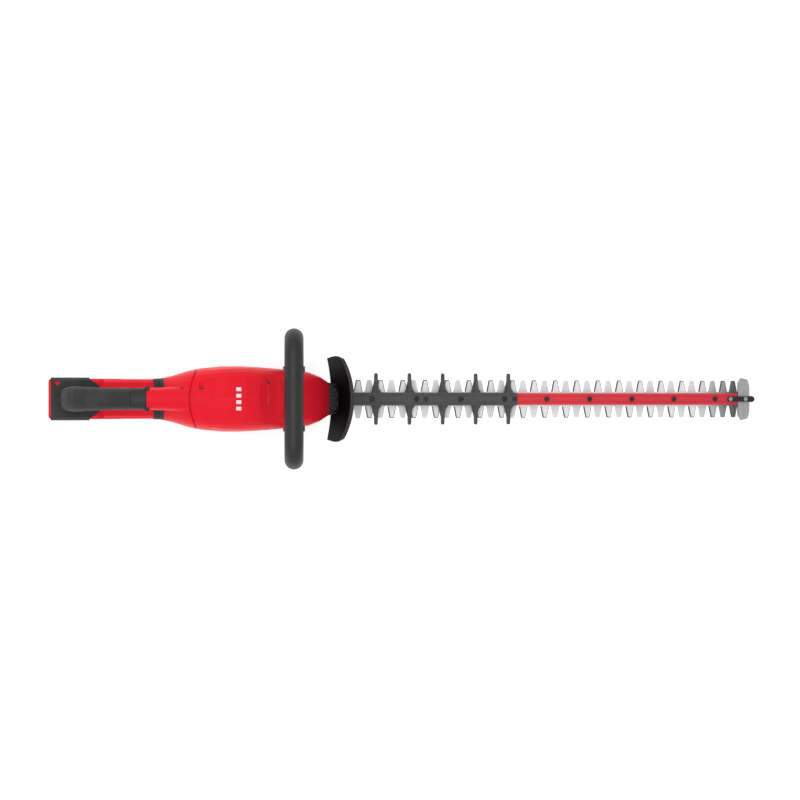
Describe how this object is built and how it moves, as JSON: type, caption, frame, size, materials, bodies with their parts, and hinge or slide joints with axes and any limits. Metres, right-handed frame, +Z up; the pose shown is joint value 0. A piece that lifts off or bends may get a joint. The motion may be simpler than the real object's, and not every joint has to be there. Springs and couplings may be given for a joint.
{
  "type": "cordless hedge trimmer",
  "caption": "Battery hedge trimmer with a loop rear handle, wrap-round front bail, hand guard, comb guard and two reciprocating double-sided blades that slide past each other.",
  "frame": {"origin": "centre of the bounding box in plan, on the floor that the battery and the gearcase stand on", "axes": "+X along the blades to their tip, +Y to the tool's left, +Z up"},
  "size_m": [1.078, 0.1984, 0.1934],
  "materials": {
    "blade_steel_upper": "satin",
    "blade_steel_lower": "satin",
    "red_metal": "satin",
    "black_steel": "satin",
    "tip_steel": "satin",
    "black_plastic": "matte",
    "comb_plastic": "matte",
    "red_plastic": "satin",
    "soft_rubber": "matte",
    "cast_alloy": "satin",
    "bright_alloy": "satin",
    "gear_steel": "satin",
    "bearing_steel": "polished",
    "magnet_steel": "matte",
    "copper_wire": "satin",
    "circuit_board": "matte",
    "cell_wrap": "satin",
    "contact_brass": "satin",
    "pale_print": "matte",
    "wire_red": "satin"
  },
  "bodies": {
    "chassis": {"blade_bar": "red_metal", "blade_bolts": "black_steel", "blade_spacers": "gear_steel", "blade_nuts": "gear_steel", "comb_guard": "comb_plastic", "comb_screws": "black_steel", "tip_plate": "tip_steel", "tip_keel": "black_plastic", "tip_screws": "gear_steel", "hand_guard": "black_plastic", "guard_screws": "black_steel", "gearcase": "cast_alloy", "gearcase_cover": "cast_alloy", "cover_screws": "gear_steel", "crank_bearing_lower": "bearing_steel", "crank_bearing_upper": "bearing_steel", "idler_pin": "gear_steel", "motor_bearing_lower": "bearing_steel", "motor_bearing_upper": "bearing_steel", "motor_mount": "bright_alloy", "motor_yoke": "bright_alloy", "stator_core": "magnet_steel", "stator_windings": "copper_wire", "motor_housing_left": "red_plastic", "motor_housing_right": "red_plastic", "housing_badge": "pale_print", "handle_shell_left": "red_plastic", "handle_shell_right": "red_plastic", "housing_screws": "black_steel", "grip_overmould": "soft_rubber", "foot_cover": "soft_rubber", "intake_grilles": "black_plastic", "controller_board": "circuit_board", "heat_sink": "bright_alloy", "main_switch": "black_plastic", "trigger_pin": "gear_steel", "lock_off_spring": "bearing_steel", "terminal_block": "black_plastic", "wiring": "wire_red", "bail_front": "black_plastic", "bail_rear": "black_plastic", "bail_screws": "black_steel"},
    "rotor": {"motor_rotor": "magnet_steel", "motor_pinion": "gear_steel", "motor_fan": "black_plastic"},
    "idler": {"idler_gear": "gear_steel"},
    "crank": {"crank_shaft": "gear_steel", "crank_gear": "gear_steel"},
    "upper_blade": {"upper_blade": "blade_steel_upper"},
    "lower_blade": {"lower_blade": "blade_steel_lower"},
    "trigger": {"trigger": "black_plastic"},
    "lock_off": {"lock_off_button": "black_plastic"},
    "bail_lever": {"bail_lever": "black_plastic"},
    "battery": {"battery_case": "black_plastic", "battery_lid": "black_plastic", "battery_cells": "cell_wrap", "battery_terminals": "contact_brass"},
    "latch_left": {"latch_left": "red_plastic"},
    "latch_right": {"latch_right": "red_plastic"}
  },
  "joints": [
    {"name": "crank_spin", "type": "hinge", "parent": "chassis", "child": "crank", "pos_m": [-0.168, 0, 0.03], "axis": [0, 0, 1], "range_deg": [0, 180]},
    {"name": "idler_spin", "type": "hinge", "parent": "chassis", "child": "idler", "pos_m": [-0.198, 0, 0.043], "axis": [0, 0, 1], "range_deg": [-684, 0]},
    {"name": "rotor_spin", "type": "hinge", "parent": "chassis", "child": "rotor", "pos_m": [-0.2185, 0, 0.08], "axis": [0, 0, 1], "range_deg": [0, 2432]},
    {"name": "upper_blade_slide", "type": "slide", "parent": "chassis", "child": "upper_blade", "axis": [1, 0, 0], "range_m": [-0.017, 0]},
    {"name": "lower_blade_slide", "type": "slide", "parent": "chassis", "child": "lower_blade", "axis": [1, 0, 0], "range_m": [0, 0.017]},
    {"name": "trigger_pull", "type": "hinge", "parent": "chassis", "child": "trigger", "pos_m": [-0.4, 0, 0.119], "axis": [0, 1, 0], "range_deg": [0, 10], "stiffness_Nm_per_rad": 0.5, "springref_deg": -6.88},
    {"name": "lock_off_press", "type": "slide", "parent": "chassis", "child": "lock_off", "axis": [0, 0, -1], "range_m": [0, 0.003], "stiffness_N_per_m": 800, "springref_m": -0.001, "deforming": ["lock_off_spring"]},
    {"name": "bail_lever_squeeze", "type": "slide", "parent": "chassis", "child": "bail_lever", "axis": [-0.682, 0, 0.7314], "range_m": [0, 0.003], "stiffness_N_per_m": 1500, "springref_m": -0.001},
    {"name": "battery_slide", "type": "slide", "parent": "chassis", "child": "battery", "axis": [-1, 0, 0], "range_m": [0, 0.095]},
    {"name": "latch_left_press", "type": "slide", "parent": "battery", "child": "latch_left", "axis": [0, -1, 0], "range_m": [0, 0.002], "stiffness_N_per_m": 600, "springref_m": -0.001},
    {"name": "latch_right_press", "type": "slide", "parent": "battery", "child": "latch_right", "axis": [0, 1, 0], "range_m": [0, 0.002], "stiffness_N_per_m": 600, "springref_m": -0.001}
  ],
  "couplings": [
    {"joint": "upper_blade_slide", "follows": "crank_spin", "m_per_rad": -0.0054112},
    {"joint": "lower_blade_slide", "follows": "crank_spin", "m_per_rad": 0.0054112},
    {"joint": "idler_spin", "follows": "crank_spin", "ratio": -3.8},
    {"joint": "rotor_spin", "follows": "crank_spin", "ratio": 13.511}
  ]
}
